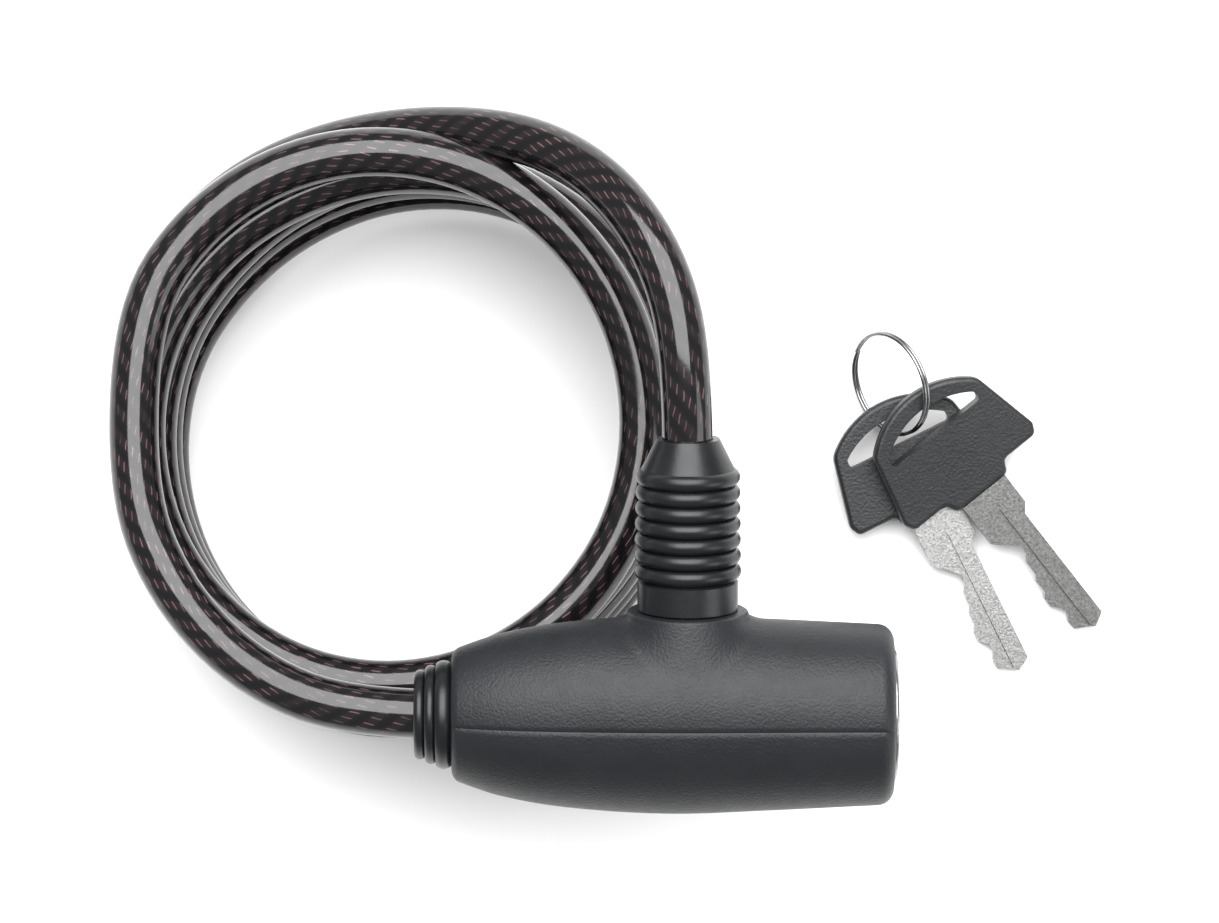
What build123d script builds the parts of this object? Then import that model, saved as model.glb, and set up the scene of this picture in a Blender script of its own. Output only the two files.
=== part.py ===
from build123d import *
import math
import os

# Keyed coiling cable lock with two keys on a split ring, millimetres.
# The lock head is drawn in its own frame (X along the body, Y along the locking pin,
# Z through its depth) and then rolled and set down on the coil. Each key is drawn flat,
# blade along +X, and then laid down. The row's frame has its base at Z = 0.

# ---------------- driving dimensions ----------------
CABLE_R = 4.0                  # vinyl covered cable
STRAND_R = 2.7                 # bare steel strands inside it
FIT = 0.05                     # running clearance on a radius
GAP = 0.3                      # free gap between bodies

# Lock body: X station, half width in Y, half depth in Z
BODY_STATIONS = [
    (-37.5, 10.4, 9.6), (-30.0, 12.95, 11.5), (-19.3, 14.85, 12.8), (-3.0, 15.9, 13.5),
    (12.3, 15.4, 13.3), (22.8, 14.9, 13.1), (32.8, 14.4, 12.9),
]
BODY_LEFT, BODY_RIGHT = -37.5, 32.8
CORE_LEFT, CORE_RIGHT, CORE_HY, CORE_HZ = -25.0, 31.0, 12.0, 10.6
BODY_EDGE_RIGHT, BODY_EDGE_LEFT = 2.2, 1.2
COLLAR_R, COLLAR_TOP, COLLAR_EDGE, COLLAR_ROOT = 9.7, 17.0, 0.6, 11.0
NECK_END = -31.0
DOWEL_R, DOWEL_X, DOWEL_Z, DOWEL_REACH = 1.2, -29.5, 8.2, 4.0

# Locking pin and what it goes through, along Y
PIN_R, PIN_TIP, PIN_END, PIN_CHAMFER = 4.5, -7.5, 24.0, 1.1
GROOVE_ROOT, GROOVE_LOW, GROOVE_HIGH = 3.05, -4.65, -2.15
BUSH_R, BUSH_LOW, BUSH_HIGH = 6.0, 5.0, 15.0
CASING_HOLE_LOW = 8.0          # where the bush's hole starts inside the casing
SEAL_R = 6.7
BORE_R, BORE_FLOOR = 4.6, -11.0

# Ejector under the pin's tip
EJECTOR_R, EJECTOR_TOP, EJECTOR_FOOT = 4.3, -7.8, -10.2
EJECTOR_BORE_R, EJECTOR_CROWN, EJECTOR_EDGE = 3.3, 1.0, 0.4
SPRING_R, SPRING_WIRE, SPRING_TURNS = 2.6, 0.3, 3

# Cylinder, along X
SHELL_R, SHELL_BACK, SHELL_FRONT = 8.0, 11.2, 30.6
PLUG_R, PLUG_BACK, PLUG_HEAD_R, PLUG_HEAD_END = 6.0, 10.2, 7.2, 32.0
KEYWAY_T, KEYWAY_H = 2.4, 7.7
WAFERS, WAFER_PITCH, WAFER_X0, WAFER_T, WAFER_W, WAFER_R = 5, 3.2, 14.0, 0.8, 6.4, 5.95
CAM_R, CAM_BACK = 5.6, 8.0
ECC, ECC_R, ECC_END = 1.8, 1.1, 5.15
HALF_TURN_OF_KEY = 45.0        # the eccentric swings this far each side of its middle
CHAMBER_R = 7.2
GROOVE_DEPTH, GROOVE_W, GROOVE_END = 7.25, 6.8, 0.4
CYLINDER_PIN_X, CYLINDER_PIN_Y, CYLINDER_PIN_Z = 27.0, 7.6, 7.1
BEZEL_R, BEZEL_BACK, BEZEL_FRONT, BEZEL_EDGE = 10.5, 31.0, 33.3, 0.5
BEZEL_HOLE_R = 6.5
SPIGOT, CAM_BOSS_R, CAM_BOSS_T = 4.0, 3.6, 0.6
CLIP_ROOT_R, CLIP_R, CLIP_LOW, CLIP_HIGH, CLIP_MOUTH = 4.8, 6.9, 10.4, 11.0, 4.4
KEYWAY_BACK = 12.4
POCKET_Y, POCKET_LOW, POCKET_HIGH = 4.45, -2.1, 2.4
LUG_W, LUG_LOW, LUG_HIGH = 1.2, 0.2, 1.2
WAFER_SPRING_Y, WAFER_SPRING_R, WAFER_SPRING_WIRE, WAFER_SPRING_TURNS = 3.85, 0.25, 0.13, 6
WAFER_SPRING_POST_R = 0.2
WAFER_SLOT_W, WAFER_SLOT_H = 2.8, 8.2

# Locking plate: a foot across the pin and a tab that the eccentric lifts
PLATE_LOW, PLATE_HIGH = -4.4, -2.4
PLATE_LEFT, PLATE_RIGHT, PLATE_BOTTOM, PLATE_TOP = -6.8, 6.9, -8.0, 6.8
TAB_X, TAB_TOP, TAB_BOTTOM_Z, TAB_TOP_Z = 5.3, 3.9, -4.7, 1.9
PLATE_HOLE_FIT, NECK_FIT, CAM_SLOT_FIT, CAM_SLOT_PLAY = 0.25, 0.2, 0.3, 0.7
POCKET_FRONT, POCKET_OPEN = 7.6, 12.0
PLATE_POCKET = ((-7.2, -4.7, -9.0), (POCKET_FRONT, -2.1, POCKET_OPEN))
TAB_POCKET = ((4.9, -4.7, -5.0), (POCKET_FRONT, 4.2, POCKET_OPEN))

# Fixed cable end, along -X
FERRULE_R, FERRULE_BACK = 5.5, -10.5
STRAND_DEPTH = 10.0
CROSS_PIN_R, FERRULE_PIN_X, FERRULE_PIN_Z = 1.25, -12.8, 10.4
BOOT_A_NECK = 5.5
BOOT_A_RINGS = [(-37.6, -40.0, 8.65), (-40.0, -41.7, 7.9), (-41.7, -43.4, 7.15)]
BOOT_A_CROWN = 0.5             # how far each ring bulges

# Free end boot, along +Y
BOOT_B_BASE, BOOT_B_SLEEVE, BOOT_B_CONE, BOOT_B_TIP = 17.3, 22.1, 39.8, 44.6
BOOT_B_R, BOOT_B_TIP_R, BOOT_B_STEP = 8.0, 5.0, 0.4
RING_ROOT_R, RING_OUT_R, RING_TAPER, RINGS = 7.4, 8.5, 0.04, 7
FREE_FERRULE_R, FREE_FERRULE_LOW, FREE_FERRULE_HIGH = 6.3, 17.6, 36.0

# Coil: six turns stacked with a lean. Centre X, centre Y, half X, half Y of its middle line
COIL_BASE = (-34.7, -0.5, 38.5, 42.6)
COIL_TOP = (-36.5, 7.3, 40.35, 42.3)
COIL_LEAN_H = 45.0
TURN_PITCH = 8.15
COIL_WALL = 4.15
COIL_FACE_Y = 11.8             # where the first turn's upper layer starts, on the -X side
COIL_CREST = 49.25             # top of the first turn where it starts

# Head and key placement in the row
ROLL = 10.0                    # the head leans back on the coil, pin end up
HEAD_AT = (12.4, -40.3, 57.0)
KEY_1_AT, KEY_1_AZ, KEY_1_SLOPE = (57.2, 2.0, 8.8), -51.3, 11.14
KEY_2_AT, KEY_2_AZ, KEY_2_SLOPE = (50.8, -0.4, 4.6), -63.4, 5.06
RING_AT, RING_TILT, RING_AZ = (47.38, 13.09, 8.14), 54.0, 20.3
RING_R, RING_WIRE = 8.8, 0.65

# Key bow, in the key's own frame: an arched ring end, sides that spread, a collar at the blade
BOW_T, BOW_EDGE = 3.0, 0.8
ARCH_X, ARCH_CROWN, ARCH_HALF, ARCH_CORNER = -6.8, -11.6, 11.2, 3.0
BOW_SIDE = [(5.2, 13.9), (7.0, 13.0), (7.0, 6.3), (9.2, 5.3)]
BOW_CORNER = 1.2
SLOT_CROWN, SLOT_SIDE_X, SLOT_HALF, SLOT_FLOOR, SLOT_CORNER = -8.6, -5.4, 9.3, -3.8, 0.7
TANG_START, TANG_W, TANG_T = -1.0, 7.0, 1.2

# Key blade: outline from the collar round the tip and back along the cuts
BLADE_T, BLADE_END = 2.2, 39.7
BLADE_BACK = [(9.2, 4.7), (15.0, 4.7), (16.6, 3.4), (38.4, 3.4)]
BLADE_TIP = [(39.7, 1.1), (37.9, -2.1)]
BLADE_CUTS = [
    (36.3, -2.1), (35.2, -1.3), (33.6, -1.5), (32.4, -2.9), (30.6, -2.9), (29.6, -2.1), (27.4, -2.2),
    (26.3, -1.5), (23.8, -1.5), (22.8, -0.6), (20.8, -0.5), (18.0, -3.5), (17.2, -4.3), (9.2, -4.3),
]
STEP_START, STEP_LOW, STEP_HIGH, STEP_DEPTH = 13.4, -3.0, 0.5, 0.7
GROOVE_START, KEY_GROOVE_LOW, KEY_GROOVE_HIGH, KEY_GROOVE_DEPTH = 16.0, 1.2, 2.5, 0.6

# Origin of the row in the layout above: the base centre of head and keys
ORIGIN = (26.272, -16.974)

LAYOUT = Location((-ORIGIN[0], -ORIGIN[1], 0))
HEAD = LAYOUT * Location(HEAD_AT, (ROLL, 0, 0))


def head_point(x, y, z):
    roll = math.radians(ROLL)
    return (HEAD_AT[0] + x,
            HEAD_AT[1] + y * math.cos(roll) - z * math.sin(roll),
            HEAD_AT[2] + y * math.sin(roll) + z * math.cos(roll))


def save(solid, node):
    solid.label = node
    export_step(solid, f"parts/{node}.step")


def save_in_head(piece, node):
    save(piece.part.moved(HEAD), node)


def across(y):
    """Plane square to the pin axis, drawn in X and -Z, extruding along +Y."""
    return Plane(origin=(0, y, 0), x_dir=(1, 0, 0), z_dir=(0, 1, 0))


def along(x):
    """Plane square to the body axis, drawn in Y and Z, extruding along +X."""
    return Plane.YZ.offset(x)


def cylinder_y(radius, low, high, mode=Mode.ADD, at=(0, 0)):
    with BuildSketch(across(low)) as disc:
        with Locations((at[0], -at[1])):
            Circle(radius)
    extrude(disc.sketch, amount=high - low, mode=mode)


def cylinder_x(radius, low, high, mode=Mode.ADD, at=(0, 0)):
    with BuildSketch(along(low)) as disc:
        with Locations(at):
            Circle(radius)
    extrude(disc.sketch, amount=high - low, mode=mode)


def cylinder_z(radius, low, high, mode=Mode.ADD, at=(0, 0)):
    with BuildSketch(Plane.XY.offset(low)) as disc:
        with Locations(at):
            Circle(radius)
    extrude(disc.sketch, amount=high - low, mode=mode)


def block(low, high, mode=Mode.ADD):
    """Box between two corners."""
    with BuildSketch(Plane.XY.offset(low[2])) as base:
        with Locations(((low[0] + high[0]) / 2, (low[1] + high[1]) / 2)):
            Rectangle(high[0] - low[0], high[1] - low[1])
    extrude(base.sketch, amount=high[2] - low[2], mode=mode)


def body_shape():
    sections = []
    for x, half_y, half_z in BODY_STATIONS:
        with BuildSketch(along(x)) as section:
            Ellipse(half_y, half_z)
        sections.append(section.sketch.face())
    loft(sections)


def core_room(mode):
    with BuildSketch(along(CORE_LEFT)) as section:
        Ellipse(CORE_HY, CORE_HZ)
    extrude(section.sketch, amount=CORE_RIGHT - CORE_LEFT, mode=mode)


def casing_rooms():
    """Everything the two half shells leave free."""
    core_room(Mode.SUBTRACT)
    cylinder_x(BEZEL_R, BEZEL_BACK, BODY_RIGHT + 1, Mode.SUBTRACT)
    cylinder_x(BOOT_A_NECK, BODY_LEFT - 1, NECK_END, Mode.SUBTRACT)
    cylinder_x(CABLE_R, NECK_END, CORE_LEFT, Mode.SUBTRACT)
    for z in (-DOWEL_Z, DOWEL_Z):
        cylinder_y(DOWEL_R, -DOWEL_REACH, DOWEL_REACH, Mode.SUBTRACT, (DOWEL_X, z))


os.makedirs("parts", exist_ok=True)

# ---------------- lock head ----------------

with BuildPart() as collar_side_casing:
    body_shape()
    fillet(collar_side_casing.edges().sort_by(Axis.X)[-1], radius=BODY_EDGE_RIGHT)
    fillet(collar_side_casing.edges().sort_by(Axis.X)[0], radius=BODY_EDGE_LEFT)
    split(bisect_by=Plane.XZ, keep=Keep.BOTTOM)
    with BuildSketch(Plane.XY):
        with BuildLine():
            Polyline((COLLAR_R, COLLAR_TOP - COLLAR_EDGE), (COLLAR_R, COLLAR_ROOT), (0, COLLAR_ROOT),
                     (0, COLLAR_TOP),
                     (COLLAR_R - COLLAR_EDGE, COLLAR_TOP))
            RadiusArc((COLLAR_R - COLLAR_EDGE, COLLAR_TOP), (COLLAR_R, COLLAR_TOP - COLLAR_EDGE),
                      COLLAR_EDGE)
        make_face()
    revolve(axis=Axis.Y)
    casing_rooms()
    cylinder_y(BUSH_R, CASING_HOLE_LOW, BUSH_HIGH, Mode.SUBTRACT)
    cylinder_y(SEAL_R, BUSH_HIGH, COLLAR_TOP, Mode.SUBTRACT)
save_in_head(collar_side_casing, "collar_side_casing")

with BuildPart() as plain_side_casing:
    body_shape()
    fillet(plain_side_casing.edges().sort_by(Axis.X)[-1], radius=BODY_EDGE_RIGHT)
    fillet(plain_side_casing.edges().sort_by(Axis.X)[0], radius=BODY_EDGE_LEFT)
    split(bisect_by=Plane.XZ, keep=Keep.TOP)
    casing_rooms()
save_in_head(plain_side_casing, "plain_side_casing")

with BuildPart() as casing_dowels:
    for z in (-DOWEL_Z, DOWEL_Z):
        cylinder_y(DOWEL_R, -DOWEL_REACH, DOWEL_REACH, at=(DOWEL_X, z))
save_in_head(casing_dowels, "casing_dowels")

with BuildPart() as lock_core:
    core_room(Mode.ADD)
    cylinder_x(SHELL_R, SHELL_BACK, CORE_RIGHT, Mode.SUBTRACT)
    cylinder_x(CHAMBER_R, POCKET_FRONT, SHELL_BACK, Mode.SUBTRACT)
    block(*PLATE_POCKET, Mode.SUBTRACT)
    block(*TAB_POCKET, Mode.SUBTRACT)
    cylinder_y(BORE_R, BORE_FLOOR, BUSH_LOW, Mode.SUBTRACT)
    cylinder_y(BUSH_R, BUSH_LOW, BUSH_HIGH, Mode.SUBTRACT)
    cylinder_x(FERRULE_R, CORE_LEFT, FERRULE_BACK, Mode.SUBTRACT)
    cylinder_z(CROSS_PIN_R, -FERRULE_PIN_Z, FERRULE_PIN_Z, Mode.SUBTRACT, (FERRULE_PIN_X, 0))
    cylinder_z(CROSS_PIN_R, -CYLINDER_PIN_Z, CYLINDER_PIN_Z, Mode.SUBTRACT,
               (CYLINDER_PIN_X, CYLINDER_PIN_Y))
save_in_head(lock_core, "lock_core")

with BuildPart() as cylinder_shell:
    cylinder_x(SHELL_R, SHELL_BACK, SHELL_FRONT)
    cylinder_x(PLUG_R + FIT, SHELL_BACK, SHELL_FRONT, Mode.SUBTRACT)
    groove_start = WAFER_X0 - GROOVE_END
    groove_end = WAFER_X0 + WAFER_PITCH * (WAFERS - 1) + WAFER_T + GROOVE_END
    block((groove_start, -GROOVE_W / 2, 0), (groove_end, GROOVE_W / 2, GROOVE_DEPTH), Mode.SUBTRACT)
    block((groove_start, -GROOVE_DEPTH, -GROOVE_W / 2), (groove_end, 0, GROOVE_W / 2), Mode.SUBTRACT)
    cylinder_z(CROSS_PIN_R, -CYLINDER_PIN_Z, CYLINDER_PIN_Z, Mode.SUBTRACT,
               (CYLINDER_PIN_X, CYLINDER_PIN_Y))
save_in_head(cylinder_shell, "cylinder_shell")

with BuildPart() as cylinder_pin:
    cylinder_z(CROSS_PIN_R, -CYLINDER_PIN_Z, CYLINDER_PIN_Z, at=(CYLINDER_PIN_X, CYLINDER_PIN_Y))
save_in_head(cylinder_pin, "cylinder_pin")

with BuildPart() as face_ring:
    cylinder_x(BEZEL_R, BEZEL_BACK, BEZEL_FRONT)
    fillet(face_ring.edges().sort_by(Axis.X)[-1], radius=BEZEL_EDGE)
    cylinder_x(PLUG_HEAD_R + FIT, BEZEL_BACK, PLUG_HEAD_END + 2 * FIT, Mode.SUBTRACT)
    cylinder_x(BEZEL_HOLE_R, BEZEL_BACK, BEZEL_FRONT, Mode.SUBTRACT)
save_in_head(face_ring, "face_ring")

with BuildPart() as pin_bush:
    cylinder_y(BUSH_R, BUSH_LOW, BUSH_HIGH)
    cylinder_y(PIN_R + FIT, BUSH_LOW, BUSH_HIGH, Mode.SUBTRACT)
save_in_head(pin_bush, "pin_bush")

with BuildPart() as collar_seal:
    cylinder_y(SEAL_R, BUSH_HIGH, COLLAR_TOP)
    cylinder_y(PIN_R + 3 * FIT, BUSH_HIGH, COLLAR_TOP, Mode.SUBTRACT)
save_in_head(collar_seal, "collar_seal")

# ---------------- fixed cable end ----------------

with BuildPart() as fixed_ferrule:
    cylinder_x(FERRULE_R, CORE_LEFT, FERRULE_BACK)
    cylinder_x(STRAND_R, CORE_LEFT, CORE_LEFT + STRAND_DEPTH, Mode.SUBTRACT)
    cylinder_z(CROSS_PIN_R, -FERRULE_PIN_Z, FERRULE_PIN_Z, Mode.SUBTRACT, (FERRULE_PIN_X, 0))
save_in_head(fixed_ferrule, "fixed_ferrule")

with BuildPart() as ferrule_pin:
    cylinder_z(CROSS_PIN_R, -FERRULE_PIN_Z, FERRULE_PIN_Z, at=(FERRULE_PIN_X, 0))
save_in_head(ferrule_pin, "ferrule_pin")

with BuildPart() as fixed_strand_end:
    cylinder_x(STRAND_R, CORE_LEFT, CORE_LEFT + STRAND_DEPTH)
save_in_head(fixed_strand_end, "fixed_strand_end")

with BuildPart() as fixed_end_boot:
    cylinder_x(BOOT_A_NECK, BOOT_A_RINGS[0][0], NECK_END)
    with BuildSketch(Plane.XY):
        with BuildLine():
            edge = (BOOT_A_RINGS[0][0], 0)
            for near, far, radius in BOOT_A_RINGS:
                low = radius - BOOT_A_CROWN
                Line(edge, (near, low))
                ThreePointArc((near, low), ((near + far) / 2, radius), (far, low))
                edge = (far, low)
            Polyline(edge, (far, 0), (BOOT_A_RINGS[0][0], 0))
        make_face()
    revolve(axis=Axis.X)
    cylinder_x(CABLE_R, BOOT_A_RINGS[-1][1], NECK_END, Mode.SUBTRACT)
save_in_head(fixed_end_boot, "fixed_end_boot")

# ---------------- plug and wafers ----------------

with BuildPart() as plug:
    cylinder_x(PLUG_R, PLUG_BACK, SHELL_FRONT)
    cylinder_x(PLUG_HEAD_R, SHELL_FRONT + FIT, PLUG_HEAD_END)
    cylinder_x(PLUG_R, SHELL_FRONT, SHELL_FRONT + FIT)
    with BuildSketch(along(CAM_BACK)):
        Rectangle(SPIGOT, SPIGOT)
    extrude(amount=PLUG_BACK - CAM_BACK)
    with BuildSketch(along(CLIP_LOW - FIT)):
        Circle(PLUG_R + 1)
        Circle(CLIP_ROOT_R, mode=Mode.SUBTRACT)
    extrude(amount=CLIP_HIGH - CLIP_LOW + 2 * FIT, mode=Mode.SUBTRACT)
    block((KEYWAY_BACK, -KEYWAY_T / 2, -KEYWAY_H / 2), (PLUG_HEAD_END, KEYWAY_T / 2, KEYWAY_H / 2),
          Mode.SUBTRACT)
    for i in range(WAFERS):
        x = WAFER_X0 + i * WAFER_PITCH
        block((x - FIT, -WAFER_W / 2 - FIT, -CLIP_R), (x + WAFER_T + FIT, WAFER_W / 2 + FIT, CLIP_R),
              Mode.SUBTRACT)
        block((x - FIT, 0, POCKET_LOW), (x + WAFER_T + FIT, POCKET_Y, POCKET_HIGH), Mode.SUBTRACT)
save_in_head(plug, "plug")

ECC_Y = ECC * math.cos(math.radians(HALF_TURN_OF_KEY))
ECC_Z = -ECC * math.sin(math.radians(HALF_TURN_OF_KEY))

with BuildPart() as tail_cam:
    cylinder_x(CAM_R, CAM_BACK, PLUG_BACK)
    with BuildSketch(along(CAM_BACK)):
        Rectangle(SPIGOT, SPIGOT)
    extrude(amount=PLUG_BACK - CAM_BACK, mode=Mode.SUBTRACT)
    with BuildSketch(along(CAM_BACK)):
        Circle(CAM_BOSS_R)
    extrude(amount=-CAM_BOSS_T)
    cylinder_x(ECC_R, ECC_END, CAM_BACK, at=(ECC_Y, ECC_Z))
save_in_head(tail_cam, "tail_cam")

with BuildPart() as retaining_clip:
    with BuildSketch(along(CLIP_LOW)):
        Circle(CLIP_R)
        Circle(CLIP_ROOT_R, mode=Mode.SUBTRACT)
        with Locations((0, -CLIP_R)):
            Rectangle(CLIP_MOUTH, 2 * CLIP_ROOT_R, mode=Mode.SUBTRACT)
    extrude(amount=CLIP_HIGH - CLIP_LOW)
save_in_head(retaining_clip, "retaining_clip")

with BuildPart() as wafers:
    for i in range(WAFERS):
        with BuildSketch(along(WAFER_X0 + i * WAFER_PITCH)):
            Circle(WAFER_R)
            Rectangle(WAFER_W, 2 * WAFER_R, mode=Mode.INTERSECT)
            Rectangle(WAFER_SLOT_W, WAFER_SLOT_H, mode=Mode.SUBTRACT)
            with Locations((WAFER_W / 2 + LUG_W / 2 - FIT, (LUG_LOW + LUG_HIGH) / 2)):
                Rectangle(LUG_W + 2 * FIT, LUG_HIGH - LUG_LOW)
        extrude(amount=WAFER_T)
save_in_head(wafers, "wafers")

with BuildPart() as wafer_springs:
    for i in range(WAFERS):
        x = WAFER_X0 + i * WAFER_PITCH + WAFER_T / 2
        low, high = POCKET_LOW + FIT / 2 + WAFER_SPRING_WIRE, LUG_LOW - FIT / 2 - WAFER_SPRING_WIRE
        for turn in range(WAFER_SPRING_TURNS):
            z = low + turn * (high - low) / (WAFER_SPRING_TURNS - 1)
            with Locations((x, WAFER_SPRING_Y, z)):
                Torus(WAFER_SPRING_R, WAFER_SPRING_WIRE)
        cylinder_z(WAFER_SPRING_POST_R, low, high, at=(x, WAFER_SPRING_Y))
save_in_head(wafer_springs, "wafer_springs")

# ---------------- bolt work ----------------

with BuildPart() as locking_plate:
    block((PLATE_LEFT, PLATE_LOW, PLATE_BOTTOM), (PLATE_RIGHT, PLATE_HIGH, PLATE_TOP))
    block((TAB_X, PLATE_LOW, TAB_BOTTOM_Z), (PLATE_RIGHT, TAB_TOP, TAB_TOP_Z))
    neck = GROOVE_ROOT + NECK_FIT
    cylinder_y(PIN_R + PLATE_HOLE_FIT, PLATE_LOW, PLATE_HIGH, Mode.SUBTRACT)
    cylinder_y(neck, PLATE_LOW, PLATE_HIGH, Mode.SUBTRACT, (0, 2 * ECC_Z))
    block((-neck, PLATE_LOW, 2 * ECC_Z), (neck, PLATE_HIGH, 0), Mode.SUBTRACT)
    with BuildSketch(along(TAB_X)):
        with Locations(((ECC_Y + ECC) / 2, ECC_Z)):
            SlotOverall(ECC - ECC_Y + 2 * ECC_R + CAM_SLOT_PLAY, 2 * ECC_R + CAM_SLOT_FIT)
    extrude(amount=PLATE_RIGHT - TAB_X, mode=Mode.SUBTRACT)
save_in_head(locking_plate, "locking_plate")

with BuildPart() as ejector_plunger:
    cylinder_y(EJECTOR_R, EJECTOR_FOOT, EJECTOR_TOP)
    chamfer(ejector_plunger.edges().sort_by(Axis.Y)[-1], length=EJECTOR_EDGE)
    cylinder_y(EJECTOR_BORE_R, EJECTOR_FOOT, EJECTOR_TOP - EJECTOR_CROWN, Mode.SUBTRACT)
save_in_head(ejector_plunger, "ejector_plunger")

with BuildPart() as ejector_spring:
    spring_low = BORE_FLOOR + SPRING_WIRE + FIT / 2
    spring_high = EJECTOR_TOP - EJECTOR_CROWN - SPRING_WIRE - FIT / 2
    with BuildLine() as coil_line:
        Helix(pitch=(spring_high - spring_low) / SPRING_TURNS, height=spring_high - spring_low,
              radius=SPRING_R, center=(0, spring_low, 0), direction=(0, 1, 0))
    with BuildSketch(Plane(origin=coil_line.line @ 0, z_dir=coil_line.line % 0)):
        Circle(SPRING_WIRE)
    sweep(path=coil_line.line, is_frenet=True)
save_in_head(ejector_spring, "ejector_spring")

# ---------------- free cable end ----------------

with BuildPart() as locking_pin:
    cylinder_y(PIN_R, PIN_TIP, PIN_END)
    chamfer(locking_pin.edges().sort_by(Axis.Y)[0], length=PIN_CHAMFER)
    with BuildSketch(across(GROOVE_LOW)):
        Circle(PIN_R + 1)
        Circle(GROOVE_ROOT, mode=Mode.SUBTRACT)
    extrude(amount=GROOVE_HIGH - GROOVE_LOW, mode=Mode.SUBTRACT)
save_in_head(locking_pin, "locking_pin")

with BuildPart() as free_ferrule:
    cylinder_y(FREE_FERRULE_R, FREE_FERRULE_LOW, FREE_FERRULE_HIGH)
    cylinder_y(PIN_R, FREE_FERRULE_LOW, PIN_END, Mode.SUBTRACT)
    cylinder_y(STRAND_R, PIN_END, FREE_FERRULE_HIGH, Mode.SUBTRACT)
save_in_head(free_ferrule, "free_ferrule")

with BuildPart() as free_strand_end:
    cylinder_y(STRAND_R, PIN_END, FREE_FERRULE_HIGH)
save_in_head(free_strand_end, "free_strand_end")

with BuildPart() as free_end_boot:
    ring_pitch = (BOOT_B_CONE - BOOT_B_SLEEVE) / RINGS
    with BuildSketch(Plane.XY):
        with BuildLine():
            Polyline((RING_ROOT_R, BOOT_B_SLEEVE), (BOOT_B_R, BOOT_B_SLEEVE - BOOT_B_STEP),
                     (BOOT_B_R, BOOT_B_BASE), (0, BOOT_B_BASE), (0, BOOT_B_TIP),
                     (BOOT_B_TIP_R, BOOT_B_TIP), (RING_ROOT_R, BOOT_B_CONE))
            for i in range(RINGS):
                low = BOOT_B_SLEEVE + i * ring_pitch
                out = RING_OUT_R - RING_TAPER * i
                ThreePointArc((RING_ROOT_R, low), (out, low + ring_pitch / 2),
                              (RING_ROOT_R, low + ring_pitch))
        make_face()
    revolve(axis=Axis.Y)
    cylinder_y(PIN_R + 2 * FIT, BOOT_B_BASE, FREE_FERRULE_LOW, Mode.SUBTRACT)
    cylinder_y(FREE_FERRULE_R, FREE_FERRULE_LOW, FREE_FERRULE_HIGH, Mode.SUBTRACT)
    cylinder_y(CABLE_R, FREE_FERRULE_HIGH, BOOT_B_TIP, Mode.SUBTRACT)
save_in_head(free_end_boot, "free_end_boot")

# ---------------- coil and the two free stretches of cable ----------------

LEFT, RIGHT, FRONT, BACK, SKY = -95.0, 25.0, -65.0, 70.0, 60.0
SEAM_X, SEAM_Y = COIL_TOP[0], COIL_TOP[1]
QUARTER = TURN_PITCH / 4
SECOND_TURN_CREST = 42.6       # top of the second turn under the lock's shoulder
SHOULDER_Y, SHOULDER_RISE = -35.0, 2.5
ARC_SHARE = 0.45               # the part of a run that the arc at its end may take


def oval_at(z, grow):
    t = z / COIL_LEAN_H
    cx, cy, half_x, half_y = [low + (high - low) * t for low, high in zip(COIL_BASE, COIL_TOP)]
    with BuildSketch(Plane.XY.offset(z)) as oval:
        with Locations((cx, cy)):
            Ellipse(half_x + grow, half_y + grow)
    return oval.sketch.face()


def route(points):
    """Straight runs joined by arcs as large as the shorter run beside each allows."""
    runs = [Vector(*b) - Vector(*a) for a, b in zip(points, points[1:])]
    radii = []
    for before, after in zip(runs, runs[1:]):
        half_turn = math.radians(before.get_angle(after)) / 2
        radii.append(ARC_SHARE * min(before.length, after.length) / math.tan(half_turn))
    print("arc radii", [round(radius, 1) for radius in radii])
    return FilletPolyline(*points, radius=radii)


def cable_tube(points, name):
    with BuildLine() as line:
        route(points)
    with BuildSketch(Plane(origin=line.line @ 0, z_dir=line.line % 0)) as section:
        Circle(CABLE_R)
    sweep(section.sketch, path=line.line)
    length = line.wire().length
    print(name, "length", round(length, 1), "section x length", round(math.pi * CABLE_R ** 2 * length))


def between(a, b, share):
    return tuple(p + share * (q - p) for p, q in zip(a, b))


LEAD_IN = [
    head_point(CORE_LEFT, 0, 0), (-41.6, -40.3, 57.0), (-57.8, -33.7, 54.7), (-70.2, -21.3, 50.2),
    (-76.9, -5.2, 45.2), (-76.9, COIL_FACE_Y, 45.2),
]
TAIL_LAST, TAIL_FOOT, COIL_JOIN = (-59.0, 50.5, 21.5), (-71.0, 38.5, 15.5), (-73.6, 8.0, 6.5)
PARTING = between(TAIL_LAST, TAIL_FOOT, 0.7)
PARTING_GAP = tuple(p + GAP * d for p, d in zip(
    PARTING, tuple((Vector(*TAIL_LAST) - Vector(*TAIL_FOOT)).normalized())))
TAIL = [
    head_point(0, FREE_FERRULE_HIGH, 0), head_point(0, 56.0, 0), (9.2, 30.5, 65.0),
    (0.8, 43.8, 57.5), (-11.5, 52.9, 47.0), (-27.0, 56.5, 37.5), (-43.5, 56.3, 29.0),
    TAIL_LAST, PARTING_GAP,
]

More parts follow.
